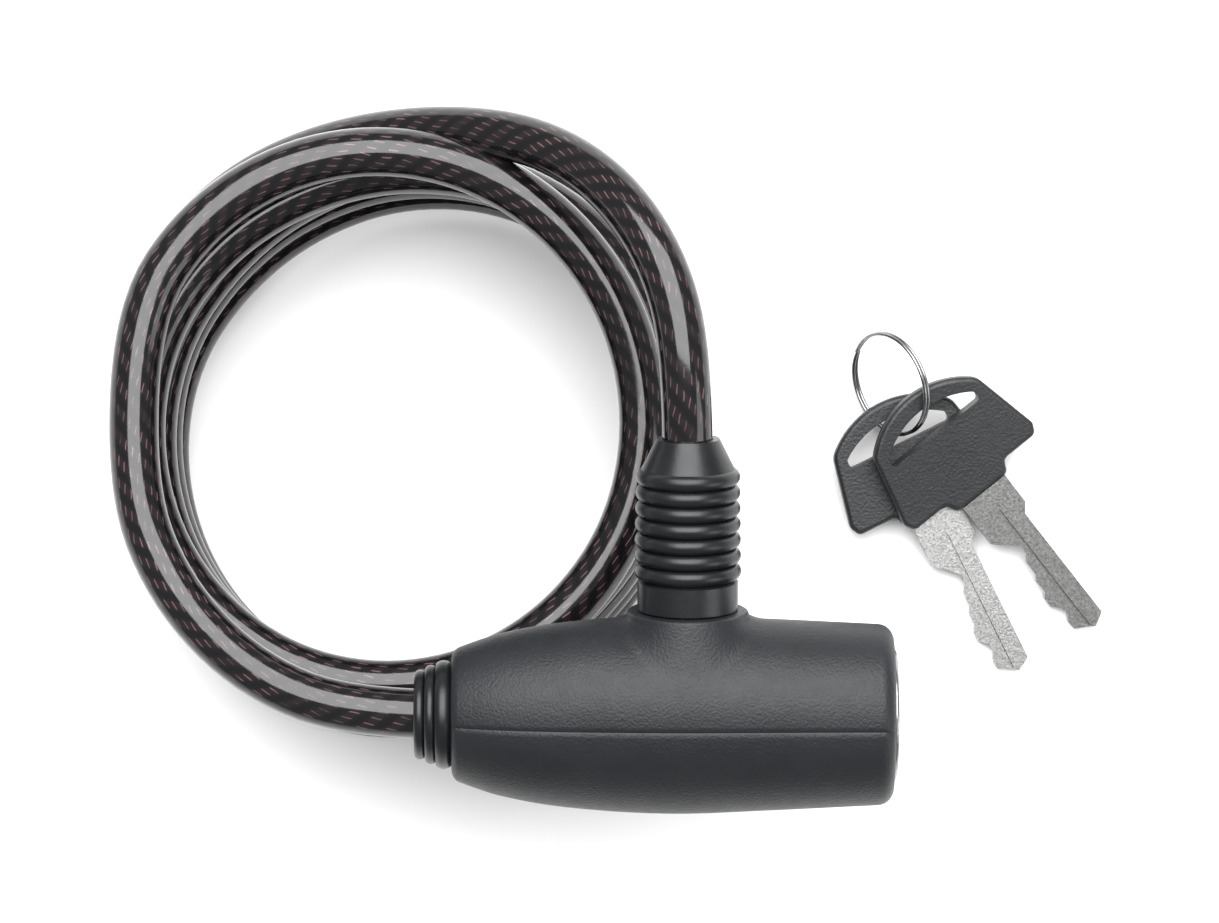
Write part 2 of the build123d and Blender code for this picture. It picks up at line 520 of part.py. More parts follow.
with BuildPart() as cable_coil:
    for wall, mode in ((COIL_WALL, Mode.ADD), (-COIL_WALL, Mode.SUBTRACT)):
        loft([oval_at(0, wall), oval_at(COIL_CREST + 1, wall)], mode=mode)
    # first turn: its crest falls a quarter of a pitch in each quarter turn
    with BuildSketch(Plane(origin=(0, COIL_FACE_Y, 0), x_dir=(1, 0, 0), z_dir=(0, 1, 0))):
        with BuildLine():
            Polyline((LEFT, -COIL_CREST), (SEAM_X, -COIL_CREST + QUARTER), (SEAM_X, -SKY),
                     (LEFT, -SKY), close=True)
        make_face()
    extrude(amount=BACK - COIL_FACE_Y, mode=Mode.SUBTRACT)
    with BuildSketch(Plane(origin=(0, SEAM_Y, 0), x_dir=(1, 0, 0), z_dir=(0, 1, 0))):
        with BuildLine():
            Polyline((SEAM_X, -COIL_CREST + QUARTER), (RIGHT, -COIL_CREST + 3 * QUARTER),
                     (RIGHT, -SKY), (SEAM_X, -SKY), close=True)
        make_face()
    extrude(amount=BACK - SEAM_Y, mode=Mode.SUBTRACT)
    with BuildSketch(Plane.YZ.offset(SEAM_X)):
        with BuildLine():
            Polyline((SEAM_Y, COIL_CREST - 2.2 * QUARTER), (FRONT, COIL_CREST - 4 * QUARTER),
                     (FRONT, SKY), (SEAM_Y, SKY), close=True)
        make_face()
    extrude(amount=RIGHT - SEAM_X, mode=Mode.SUBTRACT)
    with BuildSketch(Plane.YZ.offset(LEFT)):
        with BuildLine():
            Polyline((COIL_FACE_Y, SECOND_TURN_CREST - SHOULDER_RISE), (SHOULDER_Y, SECOND_TURN_CREST),
                     (FRONT, SECOND_TURN_CREST + 1), (FRONT, SKY), (COIL_FACE_Y, SKY), close=True)
        make_face()
    extrude(amount=SEAM_X - LEFT, mode=Mode.SUBTRACT)
    cable_tube([PARTING, TAIL_FOOT, COIL_JOIN], "foot of the tail")
save(cable_coil.part.moved(LAYOUT), "cable_coil")

with BuildPart() as cable_lead_in:
    cable_tube(LEAD_IN, "lead in")
save(cable_lead_in.part.moved(LAYOUT), "cable_lead_in")
print("lead in volume", round(cable_lead_in.part.volume))

with BuildPart() as cable_tail:
    cable_tube(TAIL, "tail")
save(cable_tail.part.moved(LAYOUT), "cable_tail")
print("tail volume", round(cable_tail.part.volume))

# ---------------- keys ----------------


def laid(at, azimuth, slope):
    """A key's own frame: blade along +X, turned to its azimuth, tip down by its slope."""
    return LAYOUT * Location(at, (0, 0, azimuth)) * Location((0, 0, 0), (0, slope, 0))


def mirrored(points):
    return [(x, -y) for x, y in reversed(points)]


def tang(mode):
    with BuildSketch(Plane.XY.offset(-TANG_T / 2)) as section:
        with Locations(((TANG_START + BLADE_BACK[0][0]) / 2, 0)):
            Rectangle(BLADE_BACK[0][0] - TANG_START, TANG_W)
    extrude(section.sketch, amount=TANG_T, mode=mode)


def blade_groove(start, low, high, floor, depth):
    """A groove milled from the start to past the tip, from its floor out through the face."""
    with BuildSketch(Plane.XY.offset(floor)) as section:
        with Locations(((start + BLADE_END + 1) / 2, (low + high) / 2)):
            Rectangle(BLADE_END + 1 - start, high - low)
    extrude(section.sketch, amount=depth, mode=Mode.SUBTRACT)


for name, place in (("key_1", laid(KEY_1_AT, KEY_1_AZ, KEY_1_SLOPE)),
                    ("key_2", laid(KEY_2_AT, KEY_2_AZ, KEY_2_SLOPE))):
    with BuildPart() as blade:
        with BuildSketch(Plane.XY.offset(-BLADE_T / 2)):
            with BuildLine():
                Polyline(*BLADE_BACK, *BLADE_TIP, *BLADE_CUTS, close=True)
            make_face()
        extrude(amount=BLADE_T)
        tang(Mode.ADD)
        blade_groove(STEP_START, STEP_LOW, STEP_HIGH, BLADE_T / 2 - STEP_DEPTH, STEP_DEPTH)
        blade_groove(GROOVE_START, KEY_GROOVE_LOW, KEY_GROOVE_HIGH, KEY_GROOVE_DEPTH - BLADE_T / 2,
                     -KEY_GROOVE_DEPTH)
    save(blade.part.moved(place), name + "_blade")

    with BuildPart() as bow:
        with BuildSketch(Plane.XY.offset(-BOW_T / 2)):
            with BuildLine():
                ThreePointArc((ARCH_X, -ARCH_HALF), (ARCH_CROWN, 0), (ARCH_X, ARCH_HALF))
                Polyline((ARCH_X, ARCH_HALF), *BOW_SIDE, *mirrored(BOW_SIDE), (ARCH_X, -ARCH_HALF))
            make_face()
            fillet(vertices().group_by(Axis.X)[0], radius=ARCH_CORNER)
            fillet([corner for corner in vertices() if corner.X > 0], radius=BOW_CORNER)
        extrude(amount=BOW_T)
        fillet(bow.edges().group_by(Axis.Z)[0] + bow.edges().group_by(Axis.Z)[-1], radius=BOW_EDGE)
        with BuildSketch(Plane.XY.offset(-BOW_T / 2)) as slot:
            with BuildLine():
                ThreePointArc((SLOT_SIDE_X, -SLOT_HALF), (SLOT_CROWN, 0), (SLOT_SIDE_X, SLOT_HALF))
                Polyline((SLOT_SIDE_X, SLOT_HALF), (SLOT_FLOOR, SLOT_HALF), (SLOT_FLOOR, -SLOT_HALF),
                         (SLOT_SIDE_X, -SLOT_HALF))
            make_face()
            fillet(slot.vertices(), radius=SLOT_CORNER)
        extrude(amount=BOW_T, mode=Mode.SUBTRACT)
        tang(Mode.SUBTRACT)
    save(bow.part.moved(place), name + "_bow")

with BuildPart() as key_ring:
    Torus(RING_R, RING_WIRE)
ring_place = LAYOUT * Location(RING_AT, (0, 0, RING_AZ)) * Location((0, 0, 0), (0, -RING_TILT, 0))
save(key_ring.part.moved(ring_place), "key_ring")
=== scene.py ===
"""Keyed coiling cable lock with two keys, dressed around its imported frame."""
import math

import bmesh
import bpy
from mathutils import Matrix, Vector


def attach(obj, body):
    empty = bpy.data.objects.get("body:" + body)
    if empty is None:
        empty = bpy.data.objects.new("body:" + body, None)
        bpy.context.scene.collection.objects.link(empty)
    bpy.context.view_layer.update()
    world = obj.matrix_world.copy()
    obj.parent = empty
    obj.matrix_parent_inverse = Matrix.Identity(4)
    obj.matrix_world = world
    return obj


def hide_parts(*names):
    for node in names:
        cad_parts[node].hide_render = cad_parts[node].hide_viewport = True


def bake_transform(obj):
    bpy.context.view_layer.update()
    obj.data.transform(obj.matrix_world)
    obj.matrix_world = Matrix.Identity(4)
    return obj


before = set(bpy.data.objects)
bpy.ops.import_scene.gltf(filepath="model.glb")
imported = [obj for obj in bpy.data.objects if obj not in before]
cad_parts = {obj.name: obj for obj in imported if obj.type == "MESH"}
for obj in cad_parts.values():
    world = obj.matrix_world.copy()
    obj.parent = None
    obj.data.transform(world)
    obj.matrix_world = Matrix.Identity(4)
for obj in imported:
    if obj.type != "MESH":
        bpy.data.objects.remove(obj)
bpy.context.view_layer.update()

MM = 0.001

# ---------------- where things stand, as in the CAD model, millimetres ----------------

ORIGIN = Vector((26.272, -16.974, 0.0))
HEAD_AT = Vector((12.4, -40.3, 57.0))
ROLL = math.radians(10.0)
HEAD_TURN = Matrix.Rotation(ROLL, 4, "X")

CABLE_R = 4.0
BODY_STATIONS = [
    (-37.5, 10.4, 9.6), (-30.0, 12.95, 11.5), (-19.3, 14.85, 12.8), (-3.0, 15.9, 13.5),
    (12.3, 15.4, 13.3), (22.8, 14.9, 13.1), (32.8, 14.4, 12.9),
]
CORE_LEFT, CORE_RIGHT, CORE_HY, CORE_HZ = -25.0, 31.0, 12.0, 10.6
COLLAR_R, COLLAR_TOP = 9.7, 17.0

COIL_BASE = (-34.7, -0.5, 38.5, 42.6)
COIL_TOP = (-36.5, 7.3, 40.35, 42.3)
COIL_LEAN_H = 45.0
TURN_PITCH = 8.15
COIL_START_Z = 45.2


def in_row(point):
    """A point of the layout, millimetres, in the row frame, metres."""
    return (Vector(point) - ORIGIN) * MM


def in_head(point):
    """A point of the head's own frame in the layout."""
    return HEAD_AT + HEAD_TURN @ Vector(point)


HEAD_TO_ROW = Matrix.Translation((HEAD_AT - ORIGIN) * MM) @ HEAD_TURN @ Matrix.Scale(MM, 4)

# ---------------- camera ----------------

CAMERA_ABOVE_TURN = 850.0
VIEW_WIDTH = 196.9
SENSOR = 36.0


def make_camera():
    data = bpy.data.cameras.new("camera")
    data.sensor_width = SENSOR
    data.lens = SENSOR * CAMERA_ABOVE_TURN / VIEW_WIDTH
    data.clip_start = 0.05
    data.clip_end = 10.0
    camera = bpy.data.objects.new("camera", data)
    bpy.context.collection.objects.link(camera)
    camera.location = in_row((0.0, 0.0, COIL_START_Z + CAMERA_ABOVE_TURN))
    bpy.context.scene.camera = camera


make_camera()

# ---------------- mesh helpers ----------------


def add_mesh(name, vertices, faces, sharp=35.0, uvs=None):
    """A mesh object in the row frame, smooth except where it turns by more than the angle."""
    mesh = bpy.data.meshes.new(name)
    mesh.from_pydata([tuple(v) for v in vertices], [], faces)
    if uvs is not None:
        layer = mesh.uv_layers.new(name="UVMap")
        for loop_at, uv in enumerate(uvs):
            layer.data[loop_at].uv = uv
    piece = bpy.data.objects.new(name, mesh)
    bpy.context.collection.objects.link(piece)
    smooth(piece, sharp)
    return piece


def smooth(piece, sharp):
    work = bmesh.new()
    work.from_mesh(piece.data)
    bmesh.ops.recalc_face_normals(work, faces=work.faces)
    limit = math.radians(sharp)
    for face in work.faces:
        face.smooth = True
    for edge in work.edges:
        if len(edge.link_faces) == 2:
            edge.smooth = edge.calc_face_angle(0.0) < limit
    work.to_mesh(piece.data)
    work.free()


def ring_faces(rings, around):
    """Quads between rings of the same count, with one face closing each end."""
    faces = []
    for i in range(rings - 1):
        for j in range(around):
            a = i * around + j
            b = i * around + (j + 1) % around
            faces.append((a, b, b + around, a + around))
    faces.append(tuple(reversed(range(around))))
    last = (rings - 1) * around
    faces.append(tuple(last + j for j in range(around)))
    return faces


def lathe(name, profile, around):
    """A closed profile of (along, radius) points turned round the Y axis of the head."""
    vertices = []
    for along, radius in profile:
        for j in range(around):
            angle = 2 * math.pi * j / around
            vertices.append(HEAD_TO_ROW @ Vector((radius * math.sin(angle), along, radius * math.cos(angle))))
    count = len(profile)
    faces = []
    for i in range(count):
        for j in range(around):
            a, b = i * around + j, i * around + (j + 1) % around
            c, d = (i + 1) % count * around + (j + 1) % around, (i + 1) % count * around + j
            faces.append((a, b, c, d))
    return add_mesh(name, vertices, faces)


def arc(cx, cy, radius, start, end, steps):
    """Points of an arc in degrees, both ends included."""
    points = []
    for i in range(steps + 1):
        angle = math.radians(start + (end - start) * i / steps)
        points.append((cx + radius * math.cos(angle), cy + radius * math.sin(angle)))
    return points


# ---------------- the cable ----------------

LEAD_IN = [
    in_head((-36.0, 0.0, 0.0)), Vector((-41.6, -40.3, 57.0)), Vector((-57.8, -33.7, 54.7)),
    Vector((-70.2, -21.3, 50.2)), Vector((-77.2, -5.2, 45.9)),
]
TAIL = [
    Vector((-79.6, 12.0, 4.3)), Vector((-78.0, 26.5, 8.0)), Vector((-70.0, 39.0, 15.0)),
    Vector((-58.5, 47.8, 21.5)), Vector((-43.5, 53.0, 29.5)), Vector((-27.0, 54.4, 38.0)),
    Vector((-11.5, 52.0, 47.0)), Vector((0.8, 43.8, 57.5)), Vector((9.2, 30.5, 65.0)),
    in_head((0.0, 56.0, 0.0)), in_head((0.0, 37.0, 0.0)),
]
TURNS = 5
POINTS_PER_TURN = 16
SPREAD_OUT, SPREAD = 10, 2.5   # points over which the lowest turn swings out, and how far
LOOSE = [(0.35, 2.3, 0.0), (0.25, 0.71, 1.0)]  # how the turns differ: size, waves to a radian, start
TOP_TURN_GROW = (1.5, 0.8)     # how much wider the top turn is than the rest, each way
TOP_TURN_NARROWS = (1.6 * math.pi, 0.4 * math.pi)  # where it starts to narrow, and over what angle
LOWER_FAN = 8.5                # how far the lower turns fan out on the pin side
FAN_TOWARDS, FAN_POWER = math.radians(140.0), 1.2
FAN_OPENS = (math.pi, 3 * math.pi)  # where the turns start to fan out, and over what angle
TOP_SAG, SAG_POWER = 2.8, 1.5  # how far the lower turns sit in under the crossing tail
ROUTE_RESOLUTION = 14
CABLE_STEP, CABLE_SIDES = 1.5, 32


def oval(z):
    t = z / COIL_LEAN_H
    return [low + (high - low) * t for low, high in zip(COIL_BASE, COIL_TOP)]


def eased(value, start, over):
    """0 up to the start, 1 from there plus over, and straight between."""
    return min(1.0, max(0.0, (value - start) / over))


def coil_points():
    """Control points of the stacked turns, clockwise from the -X side, top turn first."""
    step = 2 * math.pi / POINTS_PER_TURN
    outside = 1 / (0.75 + 0.25 * math.cos(step))  # a quadratic spline passes inside its points
    points = []
    for i in range(1, TURNS * POINTS_PER_TURN):
        turned = i * step
        z = COIL_START_Z - TURN_PITCH * turned / (2 * math.pi)
        cx, cy, half_x, half_y = oval(z)
        left = TURNS * POINTS_PER_TURN - i
        swing = SPREAD * max(0.0, 1 - left / SPREAD_OUT) ** 2
        loose = sum(size * math.sin(rate * turned + start) for size, rate, start in LOOSE)
        lower = eased(turned, *TOP_TURN_NARROWS)
        fan = eased(turned, *FAN_OPENS)
        fan *= LOWER_FAN * max(0.0, math.cos(turned - FAN_TOWARDS)) ** FAN_POWER
        sag = TOP_SAG * lower * max(0.0, math.sin(turned)) ** SAG_POWER
        half_x = half_x * outside + swing + loose + TOP_TURN_GROW[0] * (1 - lower) + fan
        half_y = half_y * outside + swing + loose + (fan + TOP_TURN_GROW[1] * (1 - lower) - sag)
        points.append(Vector((cx - half_x * math.cos(turned), cy + half_y * math.sin(turned), z)))
    return points


def spline_points(controls):
    """The smooth line of a route, read back from its NURBS spline, in the row frame."""
    curve = bpy.data.curves.new("route", "CURVE")
    curve.dimensions = "3D"
    curve.resolution_u = ROUTE_RESOLUTION
    spline = curve.splines.new("NURBS")
    spline.points.add(len(controls) - 1)
    for point, at in zip(spline.points, controls):
        point.co = (*in_row(at), 1.0)
    spline.order_u = 3
    spline.use_endpoint_u = True
    holder = bpy.data.objects.new("route", curve)
    bpy.context.collection.objects.link(holder)
    bpy.context.view_layer.update()
    line = bpy.data.meshes.new_from_object(holder)
    points = [v.co.copy() for v in line.vertices]
    bpy.data.objects.remove(holder)
    bpy.data.meshes.remove(line)
    return points


def frames_along(points):
    """A point, a normal and a binormal at each step, carried along without twist, and the arc length."""
    tangents = []
    for i in range(len(points)):
        a, b = points[max(i - 1, 0)], points[min(i + 1, len(points) - 1)]
        tangents.append((b - a).normalized())
    normal = tangents[0].orthogonal().normalized()
    frames, length = [], 0.0
    for i, (point, tangent) in enumerate(zip(points, tangents)):
        if i:
            normal = tangents[i - 1].rotation_difference(tangent) @ normal
            length += (point - points[i - 1]).length
        normal = (normal - tangent * normal.dot(tangent)).normalized()
        frames.append((point, normal, tangent.cross(normal), length))
    return frames


def tube(frames, radius, around):
    """A tube round the frames: vertices, faces, and UVs as turns round and metres along."""
    vertices = []
    for point, normal, binormal, length in frames:
        for j in range(around):
            angle = 2 * math.pi * j / around
            vertices.append(point + radius * (normal * math.cos(angle) + binormal * math.sin(angle)))
    uvs = []
    for i in range(len(frames) - 1):
        low, high = frames[i][3], frames[i + 1][3]
        for j in range(around):
            u, v = j / around, (j + 1) / around
            uvs += [(u, low), (v, low), (v, high), (u, high)]
    uvs += [(0.5, 0.0)] * (2 * around)  # the two end faces
    return vertices, ring_faces(len(frames), around), uvs


def sampled(points, step):
    """Every point at least a step beyond the one before it, with both ends."""
    kept = [points[0]]
    for point in points[1:-1]:
        if (point - kept[-1]).length >= step:
            kept.append(point)
    kept.append(points[-1])
    return kept


line = spline_points(LEAD_IN + coil_points() + TAIL)
cable_frames = frames_along(sampled(line, CABLE_STEP * MM))
vertices, faces, uvs = tube(cable_frames, CABLE_R * MM, CABLE_SIDES)
cable = add_mesh("cable", vertices, faces, uvs=uvs)

# ---------------- lock casing ----------------

SHELL_STEPS, LENGTH_STEPS = 48, 44
CASING_SHARP = 40.0
PARTING_DEPTH = 0.16
PARTING_ANGLE = math.radians(1.1)
NUDGE = 0.02                   # keeps two corners of a step from falling in one place
NECK_R, CABLE_HOLE_R, NECK_END = 5.5, 4.1, -31.0
BEZEL_R, BEZEL_BACK = 10.5, 31.0
END_R_LEFT, END_R_RIGHT = 1.2, 2.4
SEAL_R, BUSH_R, SEAL_FLOOR = 6.7, 6.0, 15.0
COLLAR_EDGE, COLLAR_STEPS, COLLAR_STRAIGHT = 0.6, 96, 0.35
SKIRT_X, SKIRT_Z, SKIRT_ROWS = 3.0, 2.7, 12
SKIRT_INNER, SKIRT_POWER = COLLAR_R + 0.12, 2.2
SKIRT_DROP, SKIRT_TUCK = 0.8, 1.0  # how far the skirt's hidden edge goes into the shell
ROOT_Y, ROOT_R, ROOT_BUSH_Y = 12.2, COLLAR_R - 0.3, 12.6
HOLE_LOW, HOLE_HIGH, HOLE_STEPS = 8.0, 20.0, 64


def half_sizes(x):
    """The body's half width and half depth at a station, on a smooth curve through the given ones."""
    xs = [station[0] for station in BODY_STATIONS]
    i = max(0, min(len(xs) - 2, sum(1 for at in xs if at <= x) - 1))
    t = (x - xs[i]) / (xs[i + 1] - xs[i])
    sizes = []
    for k in (1, 2):
        values = [station[k] for station in BODY_STATIONS]
        slopes = []
        for at in (i, i + 1):
            a, b = max(at - 1, 0), min(at + 1, len(xs) - 1)
            slopes.append((values[b] - values[a]) / (xs[b] - xs[a]) * (xs[i + 1] - xs[i]))
        h1, h2 = 2 * t ** 3 - 3 * t ** 2 + 1, t ** 3 - 2 * t ** 2 + t
        h3, h4 = -2 * t ** 3 + 3 * t ** 2, t ** 3 - t ** 2
        sizes.append(h1 * values[i] + h2 * slopes[0] + h3 * values[i + 1] + h4 * slopes[1])
    return sizes


def casing_section():
    """The closed loop of one lengthwise section: (x, half width, half depth, on the outside)."""
    left, right = BODY_STATIONS[0][0], BODY_STATIONS[-1][0]
    loop = []
    for x, inset in arc(left + END_R_LEFT, 0.0, END_R_LEFT, 180, 90, 5):
        hy, hz = half_sizes(x)
        loop.append((x, hy - END_R_LEFT + inset, hz - END_R_LEFT + inset, True))
    for i in range(1, LENGTH_STEPS):
        x = left + END_R_LEFT + (right - END_R_RIGHT - left - END_R_LEFT) * i / LENGTH_STEPS
        loop.append((x, *half_sizes(x), True))
    for x, inset in arc(right - END_R_RIGHT, 0.0, END_R_RIGHT, 90, 0, 7):
        hy, hz = half_sizes(min(x, right))
        loop.append((x, hy - END_R_RIGHT + inset, hz - END_R_RIGHT + inset, True))
    for x, radius in ((right, BEZEL_R), (BEZEL_BACK, BEZEL_R)):
        loop.append((x, radius, radius, False))
    for x in (CORE_RIGHT - NUDGE, CORE_LEFT):
        loop.append((x, CORE_HY, CORE_HZ, False))
    for x, radius in ((CORE_LEFT - NUDGE, CABLE_HOLE_R), (NECK_END, CABLE_HOLE_R),
                      (NECK_END - NUDGE, NECK_R), (left, NECK_R)):
        loop.append((x, radius, radius, False))
    return loop


def body_height(x, z):
    """How far out in Y the body reaches over a point of its parting plane."""
    hy, hz = half_sizes(x)
    return hy * math.sqrt(max(0.0, 1 - (z / hz) ** 2))


def make_collar():
    """The lip round the pin hole and the skirt that blends it into the body, as one closed ring."""
    lip = arc(COLLAR_TOP - COLLAR_EDGE, COLLAR_R - COLLAR_EDGE, COLLAR_EDGE, 0, 90, 5)
    lip_low = COLLAR_TOP - COLLAR_EDGE - COLLAR_STRAIGHT
    vertices = []
    for j in range(COLLAR_STEPS):
        angle = 2 * math.pi * j / COLLAR_STEPS
        cx, cz = math.cos(angle), math.sin(angle)
        foot = COLLAR_R + SKIRT_X * cx ** 2 + SKIRT_Z * cz ** 2
        rise = lip_low - body_height(COLLAR_R * cx, COLLAR_R * cz)
        column = [(SEAL_FLOOR, SEAL_R), (COLLAR_TOP, SEAL_R)] + lip
        for k in range(SKIRT_ROWS + 1):
            t = k / SKIRT_ROWS
            r = SKIRT_INNER + (foot - SKIRT_INNER) * t
            column.append((body_height(r * cx, r * cz) + rise * (1 - t) ** SKIRT_POWER, r))
        foot_y = column[-1][0]
        column += [(foot_y - SKIRT_DROP, foot - SKIRT_TUCK), (ROOT_Y, ROOT_R), (ROOT_BUSH_Y, BUSH_R),
                   (SEAL_FLOOR, BUSH_R)]
        vertices += [HEAD_TO_ROW @ Vector((r * cx, y, r * cz)) for y, r in column]
    faces, rows = [], len(column)
    for j in range(COLLAR_STEPS):
        a, b = j * rows, (j + 1) % COLLAR_STEPS * rows
        for k in range(rows):
            n = (k + 1) % rows
            faces.append((a + k, a + n, b + n, b + k))
    return add_mesh("collar", vertices, faces, CASING_SHARP)


def join(into, other):
    work = bmesh.new()
    for piece in (into, other):
        work.from_mesh(piece.data)
    work.to_mesh(into.data)
    work.free()
    bpy.data.objects.remove(other)


def cut_away(piece, cutter):
    modifier = piece.modifiers.new("cut", "BOOLEAN")
    modifier.object = cutter
    modifier.operation = "DIFFERENCE"
    modifier.solver = "EXACT"
    bpy.context.view_layer.update()
    done = bpy.data.meshes.new_from_object(piece.evaluated_get(bpy.context.evaluated_depsgraph_get()))
    piece.modifiers.clear()
    piece.data = done
    bpy.data.objects.remove(cutter)


def make_casing(name, side):
    """One half shell with its wall, dipped along the parting line so that a fine seam shows."""
    section = casing_section()
    angles = [0.0, PARTING_ANGLE] + [math.pi * i / SHELL_STEPS for i in range(1, SHELL_STEPS)]
    angles += [math.pi - PARTING_ANGLE, math.pi]
    vertices = []
    for angle in angles:
        at_parting = angle in (0.0, math.pi)
        for x, hy, hz, outside in section:
            dip = PARTING_DEPTH if at_parting and outside else 0.0
            y, z = side * hy * math.sin(angle), (hz - dip) * math.cos(angle)
            vertices.append(HEAD_TO_ROW @ Vector((x, y, z)))
    piece = add_mesh(name, vertices, ring_faces(len(angles), len(section)), CASING_SHARP)
    if side > 0:
        hole = [(HOLE_LOW, NUDGE), (HOLE_LOW, BUSH_R), (HOLE_HIGH, BUSH_R), (HOLE_HIGH, NUDGE)]
        cut_away(piece, lathe("hole", hole, HOLE_STEPS))
        join(piece, make_collar())
        smooth(piece, CASING_SHARP)
    return piece


casing_halves = [make_casing("collar_half", 1), make_casing("plain_half", -1)]
for half, stood_for in zip(casing_halves, ("collar_side_casing", "plain_side_casing")):
    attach(half, "head")
    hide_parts(stood_for)

# ---------------- split ring ----------------

RING_AT, RING_TILT, RING_AZ = Vector((47.38, 13.09, 8.14)), 54.0, 20.3
RING_R, RING_WIRE_R, RING_SIDES = 8.8, 0.31, 14
RING_STEPS, RING_SHARP = 288, 50.0
WIRE_START = 2.2               # where on the ring the wire starts, in radians
STEP_TURN = 0.9                # the part of a turn, in radians, where the wire steps over


def make_split_ring():
    """Two turns of wire, one on the other, with a step over from the first to the second."""
    place = (Matrix.Translation(in_row(RING_AT)) @ Matrix.Rotation(math.radians(RING_AZ), 4, "Z")
             @ Matrix.Rotation(math.radians(-RING_TILT), 4, "Y") @ Matrix.Scale(MM, 4))
    points = []
    for i in range(RING_STEPS + 1):
        angle = 4 * math.pi * i / RING_STEPS
        t = min(1.0, max(0.0, (angle - 2 * math.pi) / STEP_TURN + 0.5))
        off = RING_WIRE_R * 1.02 * (2 * t * t * (3 - 2 * t) - 1)
        at = angle + WIRE_START
        points.append(place @ Vector((RING_R * math.cos(at), RING_R * math.sin(at), off)))
    vertices, faces, uvs = tube(frames_along(points), RING_WIRE_R * MM, RING_SIDES)
    return add_mesh("split_ring", vertices, faces, RING_SHARP, uvs)


split_ring = make_split_ring()
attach(split_ring, "key_ring")
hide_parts("key_ring")

# ---------------- materials ----------------


def new_material(name):
    material = bpy.data.materials.new(name)
    material.use_nodes = True
    tree = material.node_tree
    return material, tree, tree.nodes["Principled BSDF"]


def node(tree, kind, **values):
    made = tree.nodes.new(kind)
    for key, value in values.items():
        if hasattr(made, key):
            setattr(made, key, value)
        else:
            made.inputs[key.replace("_", " ")].default_value = value
    return made


def noise(tree, scale, detail=2.0, vector=None, roughness=0.5):
    made = node(tree, "ShaderNodeTexNoise", Scale=scale, Detail=detail, Roughness=roughness)
    if vector is None:
        vector = tree.nodes.new("ShaderNodeTexCoord").outputs["Object"]
    tree.links.new(vector, made.inputs["Vector"])
    return made.outputs["Fac"]


def ramp(tree, value, stops):
    made = tree.nodes.new("ShaderNodeValToRGB")
    elements = made.color_ramp.elements
    while len(elements) < len(stops):
        elements.new(0.5)
    for element, (at, colour) in zip(elements, stops):
        element.position = at
        element.color = (*colour, 1.0)
    tree.links.new(value, made.inputs["Fac"])
    return made.outputs["Color"]


def span(tree, value, low, high):
    """The value from 0..1 stretched to low..high."""
    made = node(tree, "ShaderNodeMapRange", To_Min=low, To_Max=high)
    tree.links.new(value, made.inputs["Value"])
    return made.outputs["Result"]


def bump(tree, shader, height, strength, distance):
    made = node(tree, "ShaderNodeBump", Strength=strength, Distance=distance)
    tree.links.new(height, made.inputs["Height"])
    tree.links.new(made.outputs["Normal"], shader.inputs["Normal"])


def moulded(name, dark, light, rough, grain_scale, grain_depth, specular=0.5):
    """Moulded plastic or rubber: uneven colour and gloss, and a fine grain in the surface."""
    material, tree, shader = new_material(name)
    blotch = noise(tree, 90.0, 3.0)
    tree.links.new(ramp(tree, blotch, [(0.3, dark), (0.7, light)]), shader.inputs["Base Color"])
    tree.links.new(span(tree, noise(tree, 500.0, 2.0), *rough), shader.inputs["Roughness"])
    bump(tree, shader, noise(tree, grain_scale, 3.0), 1.0, grain_depth)
    shader.inputs["Specular IOR Level"].default_value = specular
    return material


def metal(name, dark, light, rough, grain_scale, grain_depth, stretch=(1.0, 1.0, 1.0)):
    """Bare metal, brushed where its grain is stretched."""
    material, tree, shader = new_material(name)
    shader.inputs["Metallic"].default_value = 1.0
    mapping = node(tree, "ShaderNodeMapping", Scale=stretch)
    tree.links.new(tree.nodes.new("ShaderNodeTexCoord").outputs["Object"], mapping.inputs["Vector"])
    grain = noise(tree, grain_scale, 4.0, mapping.outputs["Vector"], 0.6)
    tree.links.new(ramp(tree, grain, [(0.3, dark), (0.7, light)]), shader.inputs["Base Color"])
    tree.links.new(span(tree, grain, *rough), shader.inputs["Roughness"])
    bump(tree, shader, grain, 1.0, grain_depth)
    return material


def calc(tree, operation, first, second=0.0):
    made = node(tree, "ShaderNodeMath", operation=operation)
    for at, value in enumerate((first, second)):
        if isinstance(value, float):
            made.inputs[at].default_value = value
        else:
            tree.links.new(value, made.inputs[at])
    return made.outputs[0]


STRANDS, STRAND_LAY = 7.0, 0.029
WIRES, WIRE_LAY = 22.0, 0.16
UNEVEN_LAY = 0.035             # how far a strand strays, in parts of a turn
CROWN_FROM, WIRE_FROM, GLINT_EDGE = 0.46, 0.76, 5.0
CROWN_SHEEN = 0.028             # how much of the painted glint's colour a whole strand crown takes, as a faint painted sheen
# the strands' lay pattern, with painted shade: darker between strands and lighter on their crowns
SHADED_BETWEEN_STRANDS, LIT_STRAND_CROWNS = (0.0035, 0.0032, 0.0038), (0.0062, 0.0055, 0.0066)
PAINTED_GLINT_COLOUR = (0.115, 0.066, 0.064, 1.0)
VINYL_IOR = 1.42


